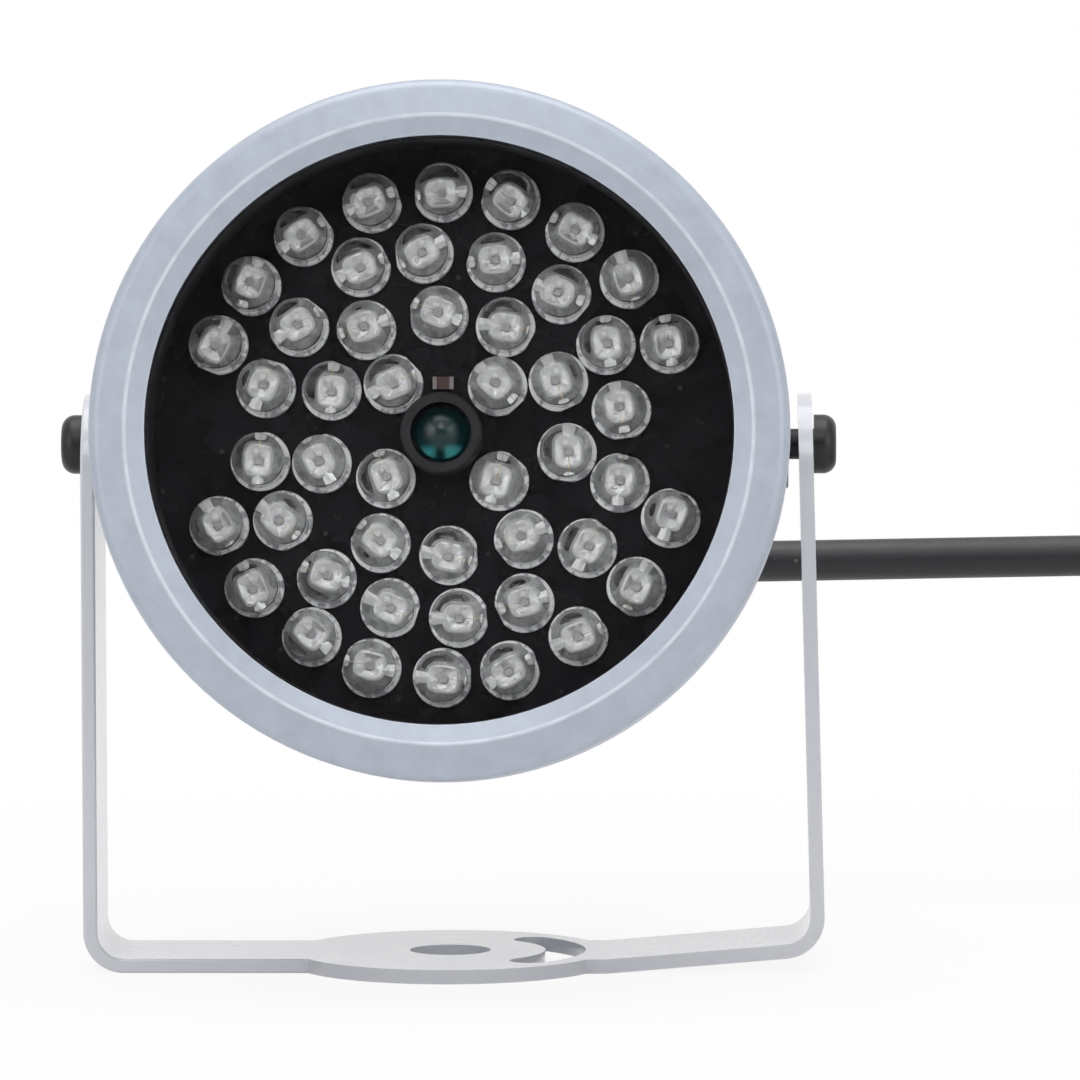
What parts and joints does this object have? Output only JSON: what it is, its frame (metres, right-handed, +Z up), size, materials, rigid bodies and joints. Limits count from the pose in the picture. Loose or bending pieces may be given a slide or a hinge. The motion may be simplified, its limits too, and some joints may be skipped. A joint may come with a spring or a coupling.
{
  "type": "infrared illuminator",
  "caption": "Round infrared lamp head with a ringed window full of clear domed diodes round a light sensor, tilting in a folded U bracket with a slotted round foot and a short supply cable.",
  "frame": {"origin": "centre of the round hole in the bracket's foot, on the foot's underside, where the part stands", "axes": "+Z up along that hole's axis, the lamps look towards -Y, +X is to the right seen from the front"},
  "size_m": [0.1781, 0.0955, 0.0881],
  "materials": {
    "bezel_paint": "satin light bluish-grey paint",
    "housing_paint": "satin light bluish-grey paint",
    "bracket_paint": "satin near-white paint",
    "window_glass": "clear polished",
    "lamp_epoxy": "clear, water-white",
    "sensor_epoxy": "clear, pale teal",
    "board_mask": "black solder mask",
    "black_plastic": "matt",
    "chip_body": "matt",
    "front_chip_body": "matt reddish grey",
    "tinned_legs": "dull tin",
    "screw_black": "black oxide, satin",
    "black_rubber": "matt",
    "gland_nylon": "matt black nylon",
    "cable_jacket": "satin charcoal",
    "tie_plastic": "satin black",
    "wire_jacket": "one red and one black",
    "socket_plastic": "satin black",
    "contact_metal": "nickel plated"
  },
  "bodies": {
    "bracket": {"bracket": "bracket_paint", "power_cable": "cable_jacket", "cable_coil": "cable_jacket", "coil_tie": "tie_plastic", "cable_tail": "cable_jacket", "socket_body": "socket_plastic", "socket_contact": "contact_metal", "socket_pin": "contact_metal"},
    "head": {"front_bezel": "bezel_paint", "housing": "housing_paint", "front_window": "window_glass", "window_gasket": "black_rubber", "spacer_ring": "black_plastic", "lamp_board": "board_mask", "infrared_lamps": "lamp_epoxy", "lamp_legs": "tinned_legs", "light_sensor": "sensor_epoxy", "sensor_sleeve": "black_plastic", "sensor_legs": "tinned_legs", "front_chip": "front_chip_body", "current_chips": "chip_body", "switching_transistor": "chip_body", "reverse_diode": "chip_body", "pivot_screws": "screw_black", "gland_body": "gland_nylon", "gland_seal": "black_rubber", "gland_nut": "gland_nylon", "gland_locknut": "gland_nylon", "cable_entry": "cable_jacket", "supply_wires": "wire_jacket"}
  },
  "joints": [
    {"name": "head_tilt", "type": "hinge", "parent": "bracket", "child": "head", "pos_m": [0, 0, 0.0515], "axis": [1, 0, 0], "range_deg": [-35, 80], "deforming": ["power_cable"]}
  ]
}
